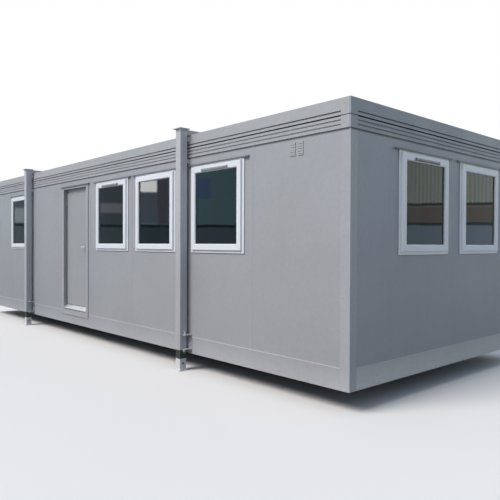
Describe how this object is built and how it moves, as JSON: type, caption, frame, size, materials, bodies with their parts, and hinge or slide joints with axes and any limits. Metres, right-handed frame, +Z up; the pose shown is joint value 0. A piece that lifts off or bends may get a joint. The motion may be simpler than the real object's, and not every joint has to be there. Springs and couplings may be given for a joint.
{
  "type": "portable site cabin",
  "caption": "Flat-roofed grey portable site cabin on telescopic jack legs, with a fluted roof edge, white framed windows and one opening door.",
  "frame": {"origin": "on the ground at the centre of the plan", "axes": "+X along the length to the right as seen from the front, +Y from the front with the door to the back, +Z up"},
  "size_m": [9.833, 3.963, 2.8703],
  "materials": {
    "wall_panel": "painted pale grey, satin",
    "steel_trim": "painted pale grey, satin",
    "white_frame": "white window plastic",
    "glazing": "clear glass over a dark room",
    "vent_plastic": "grey",
    "mill_aluminium": "mill finish",
    "door_paint": "painted pale grey, satin",
    "lever_metal": "satin",
    "galvanised": "galvanised",
    "floor_board": "dark floor covering on board",
    "joist_timber": "treated softwood",
    "ceiling_board": "white board",
    "roof_skin": "grey roof covering on board"
  },
  "bodies": {
    "cabin": {"base_rails": "steel_trim", "floor_joists": "joist_timber", "floor_deck": "floor_board", "corner_posts": "wall_panel", "cornice_corners": "wall_panel", "fascia_corners": "wall_panel", "cornice_rails": "wall_panel", "fascia_rails": "wall_panel", "roof_sheet": "roof_skin", "ceiling": "ceiling_board", "front_wall_left": "wall_panel", "front_wall_right": "wall_panel", "front_wall_over_door": "wall_panel", "back_wall": "wall_panel", "right_end_wall": "wall_panel", "left_end_wall": "wall_panel", "window_frames": "white_frame", "window_sashes": "white_frame", "window_glass": "glazing", "trickle_vents": "vent_plastic", "drip_flashings": "steel_trim", "wall_vents": "vent_plastic", "door_frame": "door_paint", "threshold": "mill_aluminium", "hinge_frame_halves": "galvanised", "jack_posts": "steel_trim", "post_caps": "steel_trim", "roof_beams": "steel_trim", "jack_brackets": "steel_trim", "jack_cleats": "steel_trim"},
    "door": {"door_leaf": "door_paint", "hinge_leaf_halves": "galvanised", "handle_plates": "lever_metal"},
    "handle": {"lever_handle": "lever_metal"},
    "jack_leg_front_left": {"jack_leg_front_left": "galvanised", "jack_pin_front_left": "galvanised", "jack_foot_front_left": "galvanised"},
    "jack_leg_front_right": {"jack_leg_front_right": "galvanised", "jack_pin_front_right": "galvanised", "jack_foot_front_right": "galvanised"},
    "jack_leg_back_left": {"jack_leg_back_left": "galvanised", "jack_pin_back_left": "galvanised", "jack_foot_back_left": "galvanised"},
    "jack_leg_back_right": {"jack_leg_back_right": "galvanised", "jack_pin_back_right": "galvanised", "jack_foot_back_right": "galvanised"}
  },
  "joints": [
    {"name": "door_hinge", "type": "hinge", "parent": "cabin", "child": "door", "pos_m": [-1.025, -1.7885, 1.446], "axis": [0, 0, -1], "range_deg": [0, 100]},
    {"name": "handle_turn", "type": "hinge", "parent": "door", "child": "handle", "pos_m": [-0.2865, -1.781, 1.45], "axis": [0, -1, 0], "range_deg": [0, 45], "stiffness_Nm_per_rad": 1.2, "springref_deg": -34.38},
    {"name": "jack_slide_front_left", "type": "slide", "parent": "cabin", "child": "jack_leg_front_left", "axis": [0, 0, -1], "range_m": [0, 0.3]},
    {"name": "jack_slide_front_right", "type": "slide", "parent": "cabin", "child": "jack_leg_front_right", "axis": [0, 0, -1], "range_m": [0, 0.3]},
    {"name": "jack_slide_back_left", "type": "slide", "parent": "cabin", "child": "jack_leg_back_left", "axis": [0, 0, -1], "range_m": [0, 0.3]},
    {"name": "jack_slide_back_right", "type": "slide", "parent": "cabin", "child": "jack_leg_back_right", "axis": [0, 0, -1], "range_m": [0, 0.3]}
  ]
}
